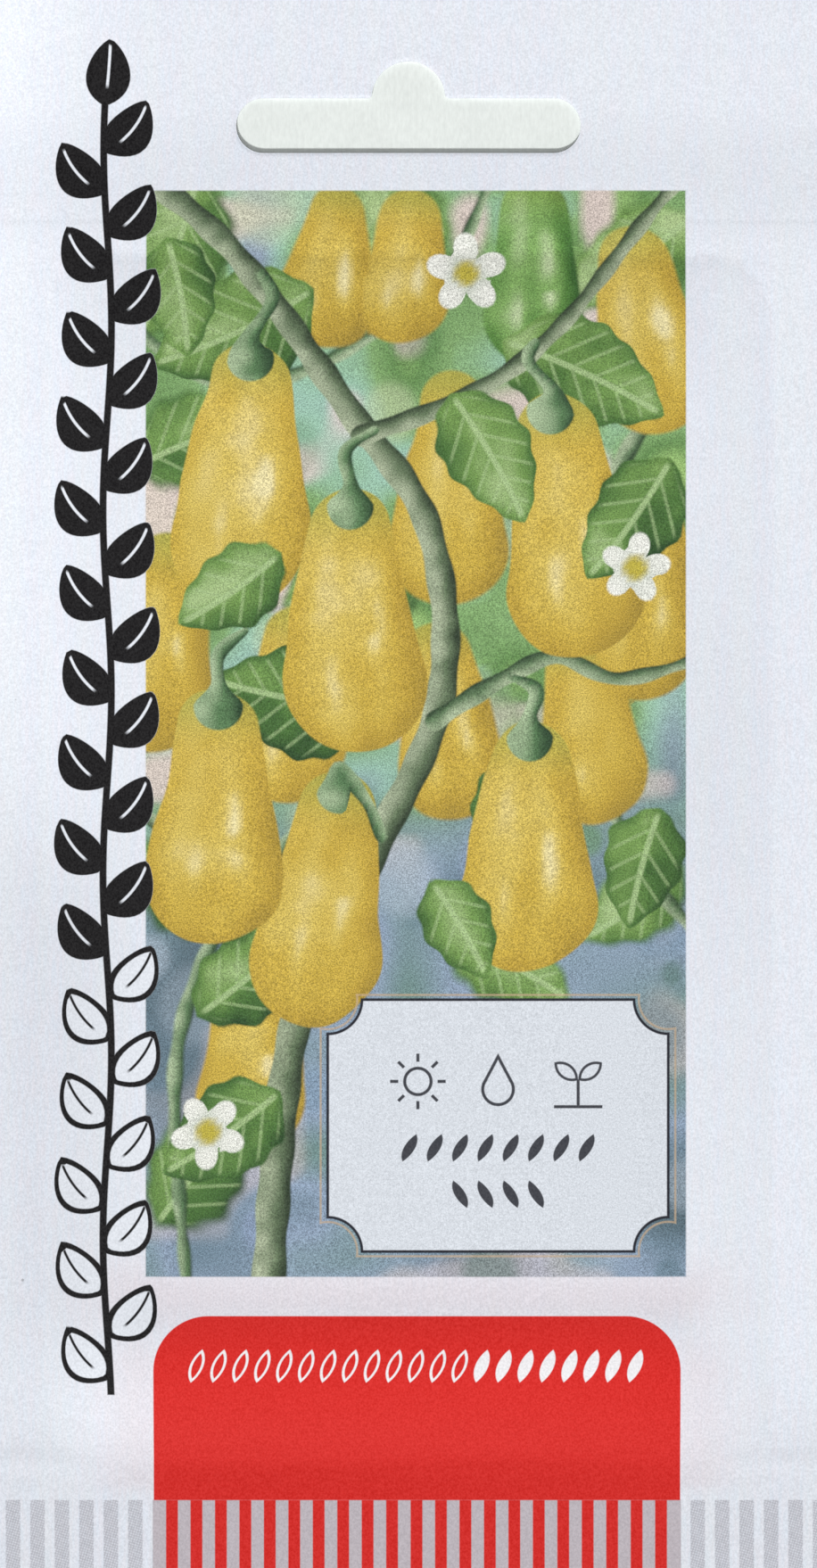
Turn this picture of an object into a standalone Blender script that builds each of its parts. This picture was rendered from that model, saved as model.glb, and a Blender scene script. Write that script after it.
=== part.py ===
# A flat seed packet lying face up: two sheets of paper laminate sealed round a shallow pocket of loose seeds.
# The frame is +Z up and +Y towards the header with the hang slot. The origin is under the middle of the packet,
# on the surface that it lies on.
import math
import random

import bmesh
import bpy

# Driving dimensions, in metres
PACKET_WIDTH = 0.078
PACKET_LENGTH = 0.150
SHEET = 0.0002            # thickness of one sheet
SEAL_GAP = 0.0002         # clearance between the two sheets along the seals
SIDE_SEAL = 0.0044
HEADER_SEAL = 0.0246
BOTTOM_SEAL = 0.0107
RIM_HEIGHT = 0.0010       # the seals float this high, because the pocket swells below them too
FRONT_RISE = 0.0011       # swell of the front sheet above the seals
FRONT_CROWN = 0.0003      # extra rise towards the packet's long centre line
FRONT_RAMP = 0.014        # distance over which the front climbs from a seal
BACK_RAMP = 0.009         # distance over which the back falls from a seal to its flat spot
HEADER_SETTLE = 0.0140    # distance over which the header comes down to the surface that the packet lies on

SLOT_WIDTH = 0.0328
SLOT_HEIGHT = 0.00525
SLOT_CENTRE_Y = 0.06265
SLOT_BUMP_RADIUS = 0.0035
SLOT_FILLET = 0.0004

SEED_COUNT = 15
SEED_HALF_LENGTH = 0.0018
SEED_HALF_WIDTH = 0.0016
SEED_HALF_THICKNESS = 0.00042
SEED_BEAK = 0.00035
SEED_CLEARANCE = 0.0003   # between a seed and the sheet that it lies on
SEED_SPACING = 0.0048     # least distance between two seeds' centres
SEED_AREA = {"x": 0.023, "low_y": -0.051, "high_y": -0.012}
SEED_DRAW = 11            # fixed seed of the random scatter

POCKET_HALF_WIDTH = PACKET_WIDTH / 2 - SIDE_SEAL
POCKET_TOP = PACKET_LENGTH / 2 - HEADER_SEAL
POCKET_BOTTOM = -PACKET_LENGTH / 2 + BOTTOM_SEAL
BACK_DROP = RIM_HEIGHT - SEAL_GAP / 2 - SHEET   # from the back of the seals down to the surface

# Cells across and along each sheet: flat strips in the seals, short steps on the ramps and long ones in the middle
RAMP_STEPS = 5
MIDDLE_STEPS_X = 4
MIDDLE_STEPS_Y = 12
HEADER_STEPS = 7


def clear_scene():
    for thing in list(bpy.data.objects):
        bpy.data.objects.remove(thing)


def new_collection(name):
    group = bpy.data.collections.new(name)
    bpy.context.scene.collection.children.link(group)
    return group


def put_in(thing, group):
    for owner in list(thing.users_collection):
        owner.objects.unlink(thing)
    group.objects.link(thing)


def material(name, colour, roughness):
    made = bpy.data.materials.new(name)
    made.use_nodes = True
    shader = made.node_tree.nodes["Principled BSDF"]
    shader.inputs["Base Color"].default_value = (*colour, 1.0)
    shader.inputs["Roughness"].default_value = roughness
    shader.inputs["Metallic"].default_value = 0.0
    return made


def climb(distance, ramp):
    """0 at a seal, easing out to 1 where the ramp ends."""
    share = min(max(distance / ramp, 0.0), 1.0)
    return math.sin(share * math.pi / 2)


def swell(x, y, ramp):
    """Height of the pocket's pillow at a point, from 0 in the seals to 1 in its middle."""
    across = climb(POCKET_HALF_WIDTH - abs(x), ramp)
    along = climb(min(POCKET_TOP - y, y - POCKET_BOTTOM), ramp)
    return across * along


def settle(y):
    """How far the header has come down at a point, from 0 at the pocket to where its back lies on the surface."""
    share = min(max((y - POCKET_TOP) / HEADER_SETTLE, 0.0), 1.0)
    return BACK_DROP * (1 - math.cos(share * math.pi)) / 2


def front_height(x, y):
    """Underside of the front sheet."""
    crown = FRONT_CROWN * (1 - (x / POCKET_HALF_WIDTH) ** 2)
    return RIM_HEIGHT + SEAL_GAP / 2 + (FRONT_RISE + crown) * swell(x, y, FRONT_RAMP) - settle(y)


def back_height(x, y):
    """Underside of the back sheet. It is 0 on the pocket's flat spot and under the header's end."""
    return RIM_HEIGHT - SEAL_GAP / 2 - SHEET - BACK_DROP * swell(x, y, BACK_RAMP) - settle(y)


def even_steps(start, stop, count):
    return [start + (stop - start) * i / count for i in range(count)]


def grid_lines_across():
    """Places of the grid's lines across the packet, from its left edge to its right edge."""
    plateau = POCKET_HALF_WIDTH - FRONT_RAMP
    left = [-PACKET_WIDTH / 2] + even_steps(-POCKET_HALF_WIDTH, -plateau, RAMP_STEPS)
    middle = even_steps(-plateau, plateau, MIDDLE_STEPS_X)
    return left + middle + [-place for place in reversed(left + [-plateau])]


def grid_lines_along():
    """Places of the grid's lines along the packet, from its bottom edge to the header's edge."""
    low = POCKET_BOTTOM + FRONT_RAMP
    high = POCKET_TOP - FRONT_RAMP
    places = [-PACKET_LENGTH / 2] + even_steps(POCKET_BOTTOM, low, RAMP_STEPS)
    places += even_steps(low, high, MIDDLE_STEPS_Y)
    places += even_steps(high, POCKET_TOP, RAMP_STEPS)
    places += even_steps(POCKET_TOP, POCKET_TOP + HEADER_SETTLE, HEADER_STEPS)
    return places + [POCKET_TOP + HEADER_SETTLE, PACKET_LENGTH / 2]


def slot_outline():
    """Outline of the hang slot, anticlockwise: a bar with round ends and a round bump over its middle."""
    end_radius = SLOT_HEIGHT / 2
    end_x = SLOT_WIDTH / 2 - end_radius
    top_y = SLOT_CENTRE_Y + end_radius
    fillet_x = math.sqrt((SLOT_BUMP_RADIUS + SLOT_FILLET) ** 2 - SLOT_FILLET ** 2)
    fillet_turn = math.degrees(math.atan2(SLOT_FILLET, fillet_x))
    right_end = arc(end_x, SLOT_CENTRE_Y, end_radius, -90, 90, 10)
    right_fillet = arc(fillet_x, top_y + SLOT_FILLET, SLOT_FILLET, 270, 180 + fillet_turn, 3)
    bump = arc(0, top_y, SLOT_BUMP_RADIUS, fillet_turn, 180 - fillet_turn, 12)[1:-1]
    left_fillet = [(-x, y) for x, y in reversed(right_fillet)]
    left_end = arc(-end_x, SLOT_CENTRE_Y, end_radius, 90, 270, 10)
    return right_end + right_fillet + bump + left_fillet + left_end


def arc(x, y, radius, first, last, steps):
    """Points of an arc between two angles in degrees."""
    turns = [math.radians(first + (last - first) * i / steps) for i in range(steps + 1)]
    return [(x + radius * math.cos(turn), y + radius * math.sin(turn)) for turn in turns]


def add_slot_cutter(group):
    """A prism of the slot's outline, tall enough to pass through both sheets."""
    low, high = -0.002, 0.006
    shape = bmesh.new()
    face = shape.faces.new([shape.verts.new((x, y, low)) for x, y in slot_outline()])
    grown = bmesh.ops.extrude_face_region(shape, geom=[face])["geom"]
    top = [part for part in grown if isinstance(part, bmesh.types.BMVert)]
    bmesh.ops.translate(shape, verts=top, vec=(0, 0, high - low))
    bmesh.ops.recalc_face_normals(shape, faces=shape.faces)
    mesh = bpy.data.meshes.new("slot_cutter")
    shape.to_mesh(mesh)
    shape.free()
    cutter = bpy.data.objects.new("slot_cutter", mesh)
    group.objects.link(cutter)
    cutter.hide_render = True
    cutter.display_type = "WIRE"
    return cutter


def add_sheet(name, height, finish, cutter, group):
    """One sheet of the packet: a grid bent to the pillow, thickened upwards, with the slot cut out."""
    across, along = grid_lines_across(), grid_lines_along()
    columns, rows = len(across) - 1, len(along) - 1
    bpy.ops.mesh.primitive_grid_add(x_subdivisions=columns, y_subdivisions=rows, size=2)
    sheet = bpy.context.object
    sheet.name = sheet.data.name = name
    for vertex in sheet.data.vertices:
        column = round((vertex.co.x + 1) / 2 * columns)
        row = round((vertex.co.y + 1) / 2 * rows)
        x, y = across[column], along[row]
        vertex.co = (x, y, height(x, y))
    split_alike(sheet.data)
    sheet.data.materials.append(finish)
    wall = sheet.modifiers.new("thickness", "SOLIDIFY")
    wall.thickness = SHEET
    wall.offset = 1.0
    wall.use_even_offset = False
    cut = sheet.modifiers.new("hang slot", "BOOLEAN")
    cut.operation = "DIFFERENCE"
    cut.solver = "EXACT"
    cut.object = cutter
    put_in(sheet, group)
    return sheet


def split_alike(mesh):
    """Splits the cells into triangles before they get a thickness, so that both faces bend the same way."""
    shape = bmesh.new()
    shape.from_mesh(mesh)
    bmesh.ops.triangulate(shape, faces=shape.faces)
    shape.to_mesh(mesh)
    shape.free()


def seed_places():
    """Centres and turns of the seeds, scattered in the lower pocket and never closer than their spacing."""
    draw = random.Random(SEED_DRAW)
    places = []
    while len(places) < SEED_COUNT:
        x = draw.uniform(-SEED_AREA["x"], SEED_AREA["x"])
        y = draw.uniform(SEED_AREA["low_y"], SEED_AREA["high_y"])
        if all(math.hypot(x - a, y - b) > SEED_SPACING for a, b, _ in places):
            places.append((x, y, draw.uniform(0, 2 * math.pi)))
    return places


def add_seed(number, place, finish, group):
    """A flat kidney-like disc with a blunt beak where it grew on the placenta."""
    x, y, turn = place
    bpy.ops.mesh.primitive_uv_sphere_add(segments=12, ring_count=6, radius=1)
    seed = bpy.context.object
    seed.name = seed.data.name = f"seed_{number:02d}"
    for vertex in seed.data.vertices:
        a, b, c = vertex.co
        bearing = math.atan2(b, a)
        reach = math.hypot(a, b)
        beak = SEED_BEAK * math.exp(-((bearing / 0.45) ** 2)) * reach
        flat = math.copysign(abs(c) ** 0.7, c)
        vertex.co = (
            SEED_HALF_LENGTH * a + beak,
            SEED_HALF_WIDTH * b * (1 - 0.12 * a),
            SEED_HALF_THICKNESS * flat,
        )
    seed.data.shade_smooth()
    seed.location = (x, y, SHEET + SEED_CLEARANCE + SEED_HALF_THICKNESS)
    seed.rotation_euler = (0, 0, turn)
    seed.data.materials.append(finish)
    put_in(seed, group)


def build():
    clear_scene()
    packet = new_collection("seed packet")
    cutters = new_collection("cutters")
    front_paper = material("front paper", (0.78, 0.81, 0.88), 0.5)
    back_paper = material("back paper", (0.76, 0.78, 0.84), 0.55)
    seed_coat = material("seed coat", (0.72, 0.55, 0.30), 0.6)
    cutter = add_slot_cutter(cutters)
    add_sheet("front_panel", front_height, front_paper, cutter, packet)
    add_sheet("back_panel", back_height, back_paper, cutter, packet)
    for number, place in enumerate(seed_places(), start=1):
        add_seed(number, place, seed_coat, packet)


build()
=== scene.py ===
import math

import bmesh
import bpy
import numpy as np
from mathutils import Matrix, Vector


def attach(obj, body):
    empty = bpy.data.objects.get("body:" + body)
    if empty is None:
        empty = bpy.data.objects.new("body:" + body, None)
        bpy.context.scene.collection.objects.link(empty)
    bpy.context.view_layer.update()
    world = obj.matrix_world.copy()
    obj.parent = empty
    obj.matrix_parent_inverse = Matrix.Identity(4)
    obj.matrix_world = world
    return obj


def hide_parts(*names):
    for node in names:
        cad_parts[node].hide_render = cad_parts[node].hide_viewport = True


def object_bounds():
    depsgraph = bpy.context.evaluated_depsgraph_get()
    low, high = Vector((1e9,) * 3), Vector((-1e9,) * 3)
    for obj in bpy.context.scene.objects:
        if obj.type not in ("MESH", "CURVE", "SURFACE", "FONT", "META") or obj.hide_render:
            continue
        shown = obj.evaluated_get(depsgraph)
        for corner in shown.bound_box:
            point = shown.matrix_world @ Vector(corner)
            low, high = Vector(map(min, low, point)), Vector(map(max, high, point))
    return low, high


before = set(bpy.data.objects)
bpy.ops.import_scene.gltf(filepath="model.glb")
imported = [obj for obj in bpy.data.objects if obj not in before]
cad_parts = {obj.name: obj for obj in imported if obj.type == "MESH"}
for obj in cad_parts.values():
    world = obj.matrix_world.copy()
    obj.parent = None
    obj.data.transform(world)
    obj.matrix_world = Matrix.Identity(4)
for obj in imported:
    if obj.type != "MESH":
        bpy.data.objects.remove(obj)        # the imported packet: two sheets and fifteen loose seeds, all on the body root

cadLow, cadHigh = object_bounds()
mm = 0.001
photo = {"high": 1758, "pixel": 25.4 / 300 * mm}     # rows, and the size of one at 300 to the inch
print("frame loaded:", len(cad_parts), "nodes")


class Wire:
    # a socket of a node tree that can be added, scaled and compared like a number
    def __init__(self, tree, socket):
        self.tree = tree
        self.socket = socket

    def __add__(self, other):
        return reckon("ADD", self, other)

    def __radd__(self, other):
        return reckon("ADD", other, self)

    def __sub__(self, other):
        return reckon("SUBTRACT", self, other)

    def __rsub__(self, other):
        return reckon("SUBTRACT", other, self)

    def __mul__(self, other):
        return reckon("MULTIPLY", self, other)

    def __rmul__(self, other):
        return reckon("MULTIPLY", other, self)

    def __truediv__(self, other):
        return reckon("DIVIDE", self, other)

    def __neg__(self):
        return reckon("MULTIPLY", self, -1.0)

    def __abs__(self):
        return reckon("ABSOLUTE", self)


def feed(tree, socket, value):
    # joins a wire or a node's first output to a socket, or sets the socket to a plain value
    if isinstance(value, Wire):
        tree.links.new(value.socket, socket)
    elif isinstance(value, bpy.types.Node):
        tree.links.new(value.outputs[0], socket)
    else:
        socket.default_value = value


def reckon(operation, *values):
    tree = next(value.tree for value in values if isinstance(value, Wire))
    node = tree.nodes.new("ShaderNodeMath")
    node.operation = operation
    for socket, value in zip(node.inputs, values):
        feed(tree, socket, value)
    return Wire(tree, node.outputs[0])


def least(a, b):
    return reckon("MINIMUM", a, b)


def most(a, b):
    return reckon("MAXIMUM", a, b)


def farOff(a, b):
    # length of the diagonal of a and b
    return reckon("SQRT", a * a + b * b)


def ease(value, start, stop):
    # 0 before start and 1 after stop, with a soft S between
    node = value.tree.nodes.new("ShaderNodeMapRange")
    node.interpolation_type = "SMOOTHSTEP"
    for socket, amount in zip(node.inputs, (value, start, stop)):
        feed(value.tree, socket, amount)
    return Wire(value.tree, node.outputs[0])


def inside(depth, soft=0.06):
    # 1 inside a shape and 0 outside it, with an edge that is soft over this many millimetres either way
    return ease(depth, -soft, soft)


def hump(value, spread):
    # 1 where value is 0, dying away over spread
    share = value / spread
    return reckon("EXPONENT", -(share * share))


def partsOf(wire):
    # the x, y and z of a wire
    node = wire.tree.nodes.new("ShaderNodeSeparateXYZ")
    feed(wire.tree, node.inputs[0], wire)
    return [Wire(wire.tree, socket) for socket in node.outputs]


def grain(tree, place, size, detail=2.0, rough=0.5, stretch=(1, 1, 1)):
    # noise whose patches are about size wide, in metres, from 0 to 1
    aim = tree.nodes.new("ShaderNodeVectorMath")
    aim.operation = "MULTIPLY"
    aim.inputs[1].default_value = stretch
    tree.links.new(place.socket, aim.inputs[0])
    noise = tree.nodes.new("ShaderNodeTexNoise")
    noise.inputs["Scale"].default_value = 1 / size
    noise.inputs["Detail"].default_value = detail
    noise.inputs["Roughness"].default_value = rough
    tree.links.new(aim.outputs[0], noise.inputs["Vector"])
    return Wire(tree, noise.outputs[0])


def tint(red, green, blue):
    # a colour as a paint program gives it, 0 to 255, made linear
    shown = np.array([red, green, blue]) / 255
    return np.where(shown <= 0.04045, shown / 12.92, ((shown + 0.055) / 1.055) ** 2.4)


def tints(*shown):
    return [tint(*each) for each in shown]


def addObject(name, data):
    made = bpy.data.objects.new(name, data)
    bpy.context.scene.collection.objects.link(made)
    return made


# The packet's shape: the swell of the pocket follows the same rule on both sheets

packet = {
    "wide": cadHigh.x - cadLow.x,
    "long": cadHigh.y - cadLow.y,
    "laminate": 0.14 * mm,
    "seamHeight": 1.0 * mm,     # where the two sheets meet along the seals
    "seamGap": 0.01 * mm,
    "pocketHalf": 34.6 * mm,
    "pocketTop": 50.4 * mm,
    "pocketLow": -64.3 * mm,
    "settle": 14.0 * mm,        # the header comes down to the surface over this length
    "curl": 0.04 * mm,          # how far its paper stays clear of the surface below the hang slot
    "curlY": 59.6 * mm,
    "curlLong": 5 * mm,
    "curlWide": 24 * mm,
    "footSteeper": 1.3,         # how much faster the pocket swells from the bottom seal than from the others
}
seal = {
    "corner": 6 * mm,           # the inner outline's round corners
    "wobble": 30 * mm,          # how slowly the pressed lines stray from straight, then how far
    "stray": 1.2 * mm,
    "ridgeStray": 1.6 * mm,
    "faint": 0.4,               # share of the relief that is left lower down, and where it starts to grow
    "growFrom": 22 * mm,
    "growTo": 40 * mm,
    "groove": -0.035 * mm,
    "grooveWide": 0.55 * mm,
    "shoulder": 0.085 * mm,
    "shoulderWide": 2.8 * mm,
    "ridge": 0.07 * mm,         # along the bottom seal
    "ridgeWide": 0.8 * mm,
}
laminate = {
    "roughness": 0.5,
    "gloss": 0.06,
    "tooth": 0.18 * mm,         # width of the grain in its white film
    "toothDark": 0.125,
    "haze": 0.022,              # share of white that the film adds
    "fibre": 0.013,             # height of the fibres, in millimetres as the next ones
    "pressed": 0.05,            # how far the punch has pressed down the slot's edge
    "pressedWide": 0.20,
    "crease": 0.030,            # a narrow step across the header
    "creaseY": 53.4,
    "creaseHalf": 0.35,
}
frontShape = {
    "cell": 0.5 * mm,
    "rise": 1.14 * mm,
    "crown": 0.30 * mm,
    "ramp": 14 * mm,
    "wave": 0.078 * mm,
    "waveScale": 34.0,          # waves in a metre
    "sealWave": 0.25,           # share of their height that they keep in the seals
    "draw": 4.0,
}
backShape = {"cell": 1.0 * mm, "ramp": 9 * mm}
sheetInputs = {
    **dict.fromkeys(("Width", "Length", "Seam height", "Rise", "Crown", "Ramp"), "NodeSocketFloat"),
    **dict.fromkeys(("Pocket half width", "Pocket top", "Pocket bottom", "Header drop"), "NodeSocketFloat"),
    **dict.fromkeys(("Header settle", "Relief", "Wave", "Draw", "Laminate"), "NodeSocketFloat"),
    **dict.fromkeys(("Cells across", "Cells along"), "NodeSocketInt"),
    "Paper": "NodeSocketMaterial",
}


def startTree(name, inputs):
    # a geometry tree with named inputs: gives the tree, a wire for each input and the sockets' identifiers
    tree = bpy.data.node_groups.new(name, "GeometryNodeTree")
    tree.interface.new_socket("Geometry", in_out="OUTPUT", socket_type="NodeSocketGeometry")
    tree.interface.new_socket("Geometry", in_out="INPUT", socket_type="NodeSocketGeometry")
    known = {}
    for label, kind in inputs.items():
        known[label] = tree.interface.new_socket(label, in_out="INPUT", socket_type=kind).identifier
    entry = tree.nodes.new("NodeGroupInput")
    wires = {label: Wire(tree, entry.outputs[label]) for label in ["Geometry", *inputs]}
    return tree, wires, known


def geoNode(tree, kind, settings=None, **inputs):
    node = tree.nodes.new(kind)
    for label, value in (settings or {}).items():
        setattr(node, label, value)
    for label, value in inputs.items():
        feed(tree, node.inputs[label.replace("_", " ")], value)
    return node


def finishTree(tree, last, finish):
    # real geometry with its material, out of the tree
    real = geoNode(tree, "GeometryNodeRealizeInstances", Geometry=last)
    done = geoNode(tree, "GeometryNodeSetMaterial", Geometry=real, Material=finish)
    feed(tree, tree.nodes.new("NodeGroupOutput").inputs[0], done)


def roundCorner(depthX, depthY, radius):
    # depth inside a corner with this radius, from the depths inside its two sides
    depth = radius - farOff(most(radius - depthX, 0.0), most(radius - depthY, 0.0))
    return depth + most(least(depthX, depthY) - radius, 0.0)


def climb(distance, ramp):
    # 0 at a seal, easing out to 1 where the ramp ends
    share = least(most(distance / ramp, 0.0), 1.0)
    return reckon("SINE", share * (math.pi / 2))


def sheetTree():
    # a grid bent to the pillow, with the seals' low relief, thickened to a closed sheet
    tree, given, known = startTree("pillow sheet", sheetInputs)
    grid = geoNode(
        tree, "GeometryNodeMeshGrid", Size_X=given["Width"], Size_Y=given["Length"],
        Vertices_X=given["Cells across"] + 1, Vertices_Y=given["Cells along"] + 1,
    )
    place = Wire(tree, tree.nodes.new("GeometryNodeInputPosition").outputs[0])
    x, y, _ = partsOf(place)
    half, top, bottom = given["Pocket half width"], given["Pocket top"], given["Pocket bottom"]
    fromSide = half - abs(x)
    fromEnd = least(top - y, (y - bottom) * packet["footSteeper"])
    swell = climb(fromSide, given["Ramp"]) * climb(fromEnd, given["Ramp"])
    bulge = (given["Rise"] + given["Crown"] * (1 - (x / half) * (x / half))) * swell
    down = least(most((y - top) / given["Header settle"], 0.0), 1.0)
    drop = given["Header drop"] * (1 - reckon("COSINE", down * math.pi)) * 0.5
    wobble = grain(tree, place, seal["wobble"], 1.0) - 0.5
    inset = roundCorner(fromSide, fromEnd, seal["corner"]) + wobble * seal["stray"]
    groove = hump(inset, seal["grooveWide"]) * seal["groove"]
    shoulder = climb(inset, seal["shoulderWide"]) * seal["shoulder"]
    ridge = hump(y - bottom + wobble * seal["ridgeStray"], seal["ridgeWide"]) * seal["ridge"]
    crisp = seal["faint"] + (1 - seal["faint"]) * ease(y, seal["growFrom"], seal["growTo"])
    relief = ((groove + shoulder) * crisp + ridge) * given["Relief"]
    roll = geoNode(
        tree, "ShaderNodeTexNoise", {"noise_dimensions": "4D"},
        Vector=place, W=given["Draw"], Scale=frontShape["waveScale"], Detail=2.0,
    )
    calm = frontShape["sealWave"]
    wave = (Wire(tree, roll.outputs[0]) - 0.5) * 2 * given["Wave"] * (calm + (1 - calm) * swell)
    curl = hump(y - packet["curlY"], packet["curlLong"]) * hump(x, packet["curlWide"]) * packet["curl"]
    height = given["Seam height"] + bulge - drop + curl + relief + wave
    lift = geoNode(tree, "ShaderNodeCombineXYZ", Z=height)
    bent = geoNode(tree, "GeometryNodeSetPosition", Geometry=grid, Offset=lift)
    wall = geoNode(tree, "ShaderNodeCombineXYZ", Z=given["Laminate"])
    faces = {"mode": "FACES"}
    grown = geoNode(tree, "GeometryNodeExtrudeMesh", faces, Mesh=bent, Offset=wall, Individual=False)
    turned = geoNode(tree, "GeometryNodeFlipFaces", Mesh=bent)
    both = tree.nodes.new("GeometryNodeJoinGeometry")
    feed(tree, both.inputs[0], grown)
    feed(tree, both.inputs[0], turned)
    closed = geoNode(tree, "GeometryNodeMergeByDistance", Geometry=both, Distance=0.001 * mm)
    finishTree(tree, closed, given["Paper"])
    return tree, known


slot = {"wide": 32.8 * mm, "high": 5.25 * mm, "middle": 62.65 * mm, "bump": 3.5 * mm, "fillet": 0.4 * mm}


def arc(x, y, radius, first, last, steps):
    # points of an arc between two angles in degrees
    turns = [math.radians(first + (last - first) * i / steps) for i in range(steps + 1)]
    return [(x + radius * math.cos(turn), y + radius * math.sin(turn)) for turn in turns]


def slotPunch():
    # the hang slot's punch: a bar with round ends and a round bump over its middle
    end = slot["high"] / 2
    endX, topY = slot["wide"] / 2 - end, slot["middle"] + end
    filletX = math.sqrt((slot["bump"] + slot["fillet"]) ** 2 - slot["fillet"] ** 2)
    lean = math.degrees(math.atan2(slot["fillet"], filletX))
    outline = arc(endX, slot["middle"], end, -90, 90, 32)
    rightFillet = arc(filletX, topY + slot["fillet"], slot["fillet"], 270, 180 + lean, 6)
    outline += rightFillet + arc(0, topY, slot["bump"], lean, 180 - lean, 40)[1:-1]
    outline += [(-x, y) for x, y in reversed(rightFillet)] + arc(-endX, slot["middle"], end, 90, 270, 32)
    shape = bmesh.new()
    face = shape.faces.new([shape.verts.new((x, y, -2 * mm)) for x, y in outline])
    grown = bmesh.ops.extrude_face_region(shape, geom=[face])["geom"]
    top = [part for part in grown if isinstance(part, bmesh.types.BMVert)]
    bmesh.ops.translate(shape, verts=top, vec=(0, 0, 8 * mm))
    bmesh.ops.recalc_face_normals(shape, faces=shape.faces)
    mesh = bpy.data.meshes.new("slotPunch")
    shape.to_mesh(mesh)
    shape.free()
    return addObject("slotPunch", mesh)


def settled(thing, name):
    # the evaluated result of an object's modifiers as a plain object
    bpy.context.view_layer.update()
    result = thing.evaluated_get(bpy.context.evaluated_depsgraph_get())
    mesh = bpy.data.meshes.new_from_object(result)
    mesh.name = name
    bpy.data.objects.remove(thing)
    return addObject(name, mesh)


def makeSheet(name, tree, known, punch, values):
    # one sheet of the packet, with the slot punched out
    blank = addObject(name + "Blank", bpy.data.meshes.new(name + "Blank"))
    maker = blank.modifiers.new("pillow", "NODES")
    maker.node_group = tree
    for label, value in values.items():
        maker[known[label]] = value
    cut = blank.modifiers.new("slot", "BOOLEAN")
    cut.operation = "DIFFERENCE"
    cut.solver = "EXACT"
    cut.object = punch
    return settled(blank, name)


def facesOf(mesh):
    # middles and upward lean of a mesh's faces
    middles, normals = np.zeros(len(mesh.polygons) * 3), np.zeros(len(mesh.polygons) * 3)
    mesh.polygons.foreach_get("center", middles)
    mesh.polygons.foreach_get("normal", normals)
    return middles.reshape(-1, 3) / mm, normals[2::3]


def dressSheet(sheet, finishes, choose):
    # each face takes the finish that choose gives it, and the paper is smooth but for its cut edges
    sheet.data.materials.clear()
    for finish in finishes:
        sheet.data.materials.append(finish)
    sheet.data.polygons.foreach_set("material_index", choose(*facesOf(sheet.data)).astype(np.int32))
    sheet.data.shade_smooth()
    sheet.data.set_sharp_from_angle(angle=math.radians(50))


def inPicture(x, y, spare):
    return (
        (x > picture["left"] - spare) & (x < picture["right"] + spare)
        & (y > picture["low"] - spare) & (y < picture["high"] + spare)
    )


def chooseFront(middles, lean):
    # the liner everywhere but on top, where the picture and the band have finishes of their own
    x, y = middles[:, 0], middles[:, 1]
    spare = frontShape["cell"] / mm
    inBand = y < redBand["high"] + spare
    return np.where(lean < 0.5, 0, np.where(inPicture(x, y, spare), 2, np.where(inBand, 3, 1)))


def chooseBack(middles, lean):
    # the print below, the liner inside and along the cut edges
    return np.where(lean > -0.5, 0, 1)


# Printed picture: plump yellow fruits on a leafy vine, painted in layers from the back, in millimetres

picture = {"left": -24.93, "right": 26.33, "low": -46.74, "high": 56.43, "spare": 1.5}
pictureSun = (-0.36, 0.36, 0.58)     # the light in it comes from the upper left
blurCount = 90


def blendTints(ramp, places, value):
    # a colour ramp over value, with its tints standing at the places
    return np.stack([np.interp(value, places, [t[band] for t in ramp]) for band in range(3)], axis=-1)


def over(colour, share, other):
    return colour * (1 - share[..., None]) + other * share[..., None]


def cloud(x, y, size, draw):
    # smooth random field from 0 to 1 with patches about as wide as size
    lattice = np.random.default_rng(draw).random((64, 64))
    across, along = x / size + 1000, y / size + 1000
    i, j = np.floor(across).astype(int), np.floor(along).astype(int)
    u, v = across - i, along - j
    u, v = u * u * (3 - 2 * u), v * v * (3 - 2 * v)
    near, far = lattice[i % 64, j % 64], lattice[(i + 1) % 64, j % 64]
    nearUp, farUp = lattice[i % 64, (j + 1) % 64], lattice[(i + 1) % 64, (j + 1) % 64]
    return (near * (1 - u) + far * u) * (1 - v) + (nearUp * (1 - u) + farUp * u) * v


def fade(value, start, stop):
    share = np.clip((value - start) / (stop - start), 0, 1)
    return share * share * (3 - 2 * share)


def local(x, y, spot, turn, bend, length):
    # a motif's own directions: along its axis from spot, and across it, with the axis bowed by bend
    angle = math.radians(turn)
    along = (x - spot[0]) * math.cos(angle) + (y - spot[1]) * math.sin(angle)
    across = -(x - spot[0]) * math.sin(angle) + (y - spot[1]) * math.cos(angle)
    share = np.clip(along / length, -0.3, 1.3)
    return along, across - 4 * bend * share * (1 - share)


fruitTints = tints((166, 140, 58), (188, 158, 62), (203, 174, 72), (214, 190, 96), (236, 223, 168))
unripeTints = tints((38, 70, 34), (62, 104, 48), (92, 138, 66), (132, 172, 98), (206, 220, 178))
fruitPlaces = [0.0, 0.28, 0.5, 0.72, 1.0]
stalkGreen = tint(146, 168, 84)
leafTints = tints((46, 76, 42), (78, 116, 58), (118, 154, 82), (176, 200, 142))
stemTints = tints((44, 70, 46), (92, 128, 86), (174, 194, 156))
barkTints = tints((58, 54, 48), (112, 106, 94), (178, 174, 158))
petalTints = tints((150, 168, 124), (214, 218, 206), (240, 240, 232))
skyTints = tints((92, 112, 122), (116, 138, 154), (146, 164, 186), (112, 142, 136))
groveTints = tints((150, 166, 184), (158, 198, 176), (134, 172, 112), (104, 144, 84), (162, 198, 122))
pinkHaze = tint(226, 206, 202)
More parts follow.
